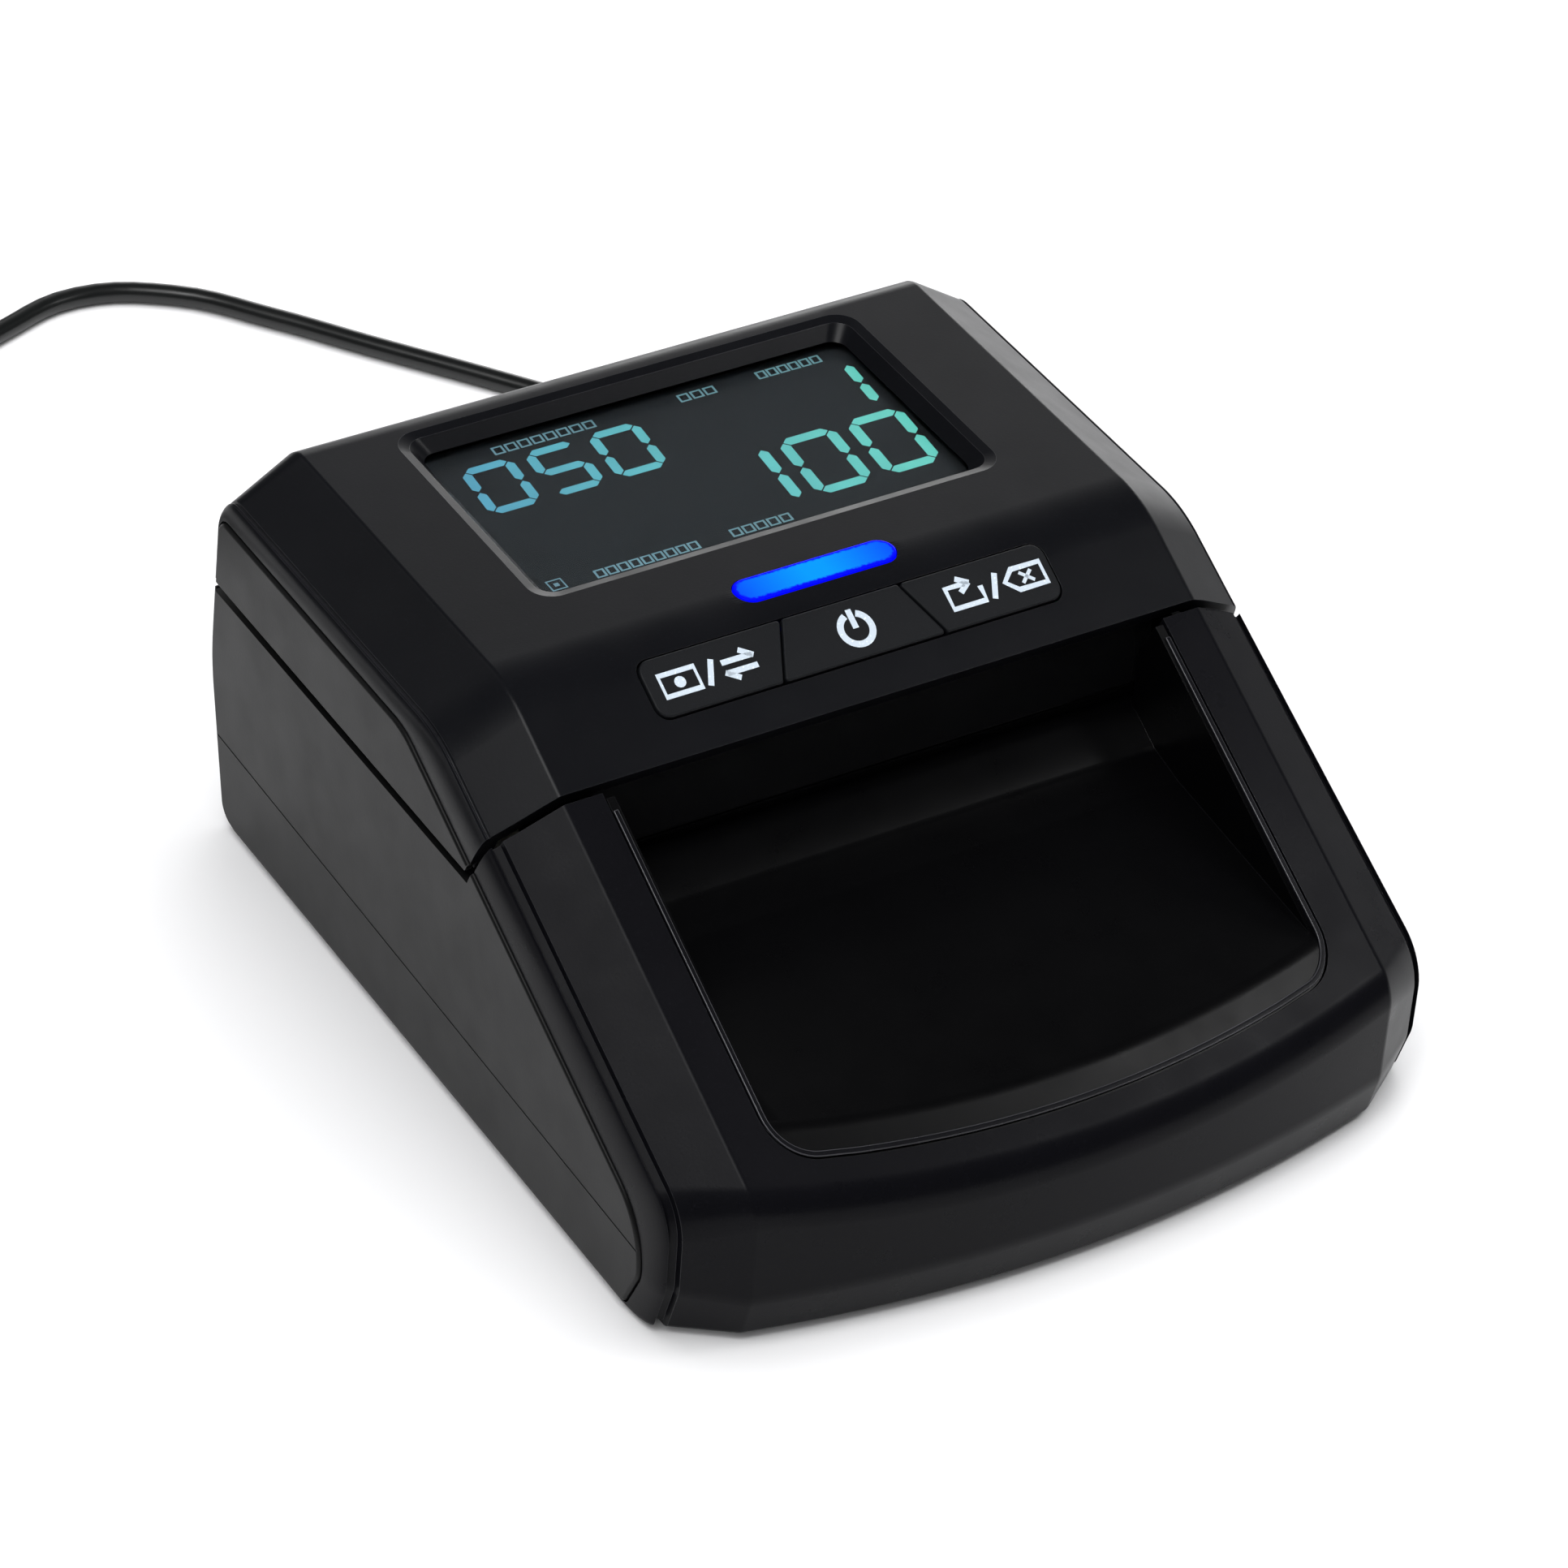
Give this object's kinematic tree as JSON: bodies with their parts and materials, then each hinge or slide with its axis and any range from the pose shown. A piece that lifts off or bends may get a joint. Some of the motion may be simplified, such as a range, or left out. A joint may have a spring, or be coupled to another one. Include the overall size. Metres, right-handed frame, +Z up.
{
  "type": "counterfeit bill detector",
  "caption": "Desktop banknote checker: wedge casing with an open note tray, a hinged lid with display and keys, a roller drive inside and a plug-in power lead.",
  "frame": {"origin": "on the table, under the middle of the casing's box", "axes": "+X to the right seen from the front, +Y to the rear, +Z up"},
  "size_m": [0.2237, 0.2582, 0.0602],
  "materials": {
    "casing_black": "satin, finely textured",
    "panel_black": "satin",
    "tray_black": "semi-gloss",
    "guide_black": "gloss",
    "key_black": "satin",
    "light_blue": "lit translucent",
    "display_glass": "clear",
    "display_grey": "smooth",
    "board_green": "solder resist",
    "steel": "machined",
    "brass": "machined",
    "gear_white": "moulded",
    "rubber_black": "matt",
    "sensor_black": "smooth",
    "cord_black": "satin sheath"
  },
  "bodies": {
    "casing": {"base_shell": "casing_black", "bottom_cover": "panel_black", "base_side_panel_left": "panel_black", "base_side_panel_right": "panel_black", "note_tray": "tray_black", "lower_guide": "guide_black", "drive_motor": "steel", "main_board": "board_green", "lower_sensor_bar": "sensor_black", "power_jack": "sensor_black", "hinge_arm_left": "steel", "hinge_arm_right": "steel", "hinge_pin_left": "steel", "hinge_pin_right": "steel", "power_plug": "cord_black", "power_cord": "cord_black", "power_cord_coil": "cord_black", "power_cord_tail": "cord_black", "wall_adapter": "cord_black", "bottom_screw_left_front": "steel", "bottom_screw_left_rear": "steel", "bottom_screw_right_front": "steel", "bottom_screw_right_rear": "steel", "rubber_foot_left_front": "rubber_black", "rubber_foot_left_rear": "rubber_black", "rubber_foot_right_front": "rubber_black", "rubber_foot_right_rear": "rubber_black"},
    "lid": {"lid_shell": "casing_black", "lid_side_panel_left": "panel_black", "lid_side_panel_right": "panel_black", "upper_guide": "guide_black", "magnetic_head": "steel", "upper_sensor_bar": "sensor_black", "display_window": "display_glass", "display_panel": "display_grey", "display_board": "board_green", "light_bar": "light_blue", "key_board": "board_green"},
    "key_left": {"key_left": "key_black"},
    "key_power": {"key_power": "key_black"},
    "key_right": {"key_right": "key_black"},
    "front_drive": {"front_drive_shaft": "steel", "front_drive_gear": "gear_white", "front_drive_roller_left": "rubber_black", "front_drive_roller_right": "rubber_black"},
    "rear_drive": {"rear_drive_shaft": "steel", "rear_drive_gear": "gear_white", "rear_drive_roller_left": "rubber_black", "rear_drive_roller_right": "rubber_black"},
    "idler": {"idler_gear": "gear_white"},
    "motor_rotor": {"motor_pinion": "brass"},
    "front_pinch": {"front_pinch_axle": "steel", "front_pinch_roller_left": "rubber_black", "front_pinch_roller_right": "rubber_black"},
    "rear_pinch": {"rear_pinch_axle": "steel", "rear_pinch_roller_left": "rubber_black", "rear_pinch_roller_right": "rubber_black"}
  },
  "joints": [
    {"name": "lid_hinge", "type": "hinge", "parent": "casing", "child": "lid", "pos_m": [0, 0.0618, 0.0513], "axis": [-1, 0, 0], "range_deg": [0, 60]},
    {"name": "key_left_press", "type": "slide", "parent": "lid", "child": "key_left", "axis": [0, 0.4802, -0.8771], "range_m": [0, 0.0006], "stiffness_N_per_m": 2500},
    {"name": "key_power_press", "type": "slide", "parent": "lid", "child": "key_power", "axis": [0, 0.4802, -0.8771], "range_m": [0, 0.0006], "stiffness_N_per_m": 2500},
    {"name": "key_right_press", "type": "slide", "parent": "lid", "child": "key_right", "axis": [0, 0.4802, -0.8771], "range_m": [0, 0.0006], "stiffness_N_per_m": 2500},
    {"name": "front_drive_spin", "type": "hinge", "parent": "casing", "child": "front_drive", "pos_m": [0, 0.0055, 0.029], "axis": [1, 0, 0], "continuous": true},
    {"name": "rear_drive_spin", "type": "hinge", "parent": "casing", "child": "rear_drive", "pos_m": [0, 0.0415, 0.029], "axis": [1, 0, 0], "continuous": true},
    {"name": "idler_spin", "type": "hinge", "parent": "casing", "child": "idler", "pos_m": [0, 0.0235, 0.029], "axis": [1, 0, 0], "continuous": true},
    {"name": "motor_spin", "type": "hinge", "parent": "casing", "child": "motor_rotor", "pos_m": [0, 0.0235, 0.0155], "axis": [1, 0, 0], "continuous": true},
    {"name": "front_pinch_spin", "type": "hinge", "parent": "lid", "child": "front_pinch", "pos_m": [0, 0.0055, 0.0417], "axis": [1, 0, 0], "continuous": true},
    {"name": "rear_pinch_spin", "type": "hinge", "parent": "lid", "child": "rear_pinch", "pos_m": [0, 0.0415, 0.0417], "axis": [1, 0, 0], "continuous": true}
  ],
  "couplings": [
    {"joint": "rear_drive_spin", "follows": "front_drive_spin", "ratio": 1},
    {"joint": "idler_spin", "follows": "front_drive_spin", "ratio": -1},
    {"joint": "motor_spin", "follows": "front_drive_spin", "ratio": 2},
    {"joint": "front_pinch_spin", "follows": "front_drive_spin", "ratio": -2.1},
    {"joint": "rear_pinch_spin", "follows": "front_drive_spin", "ratio": -2.1}
  ]
}
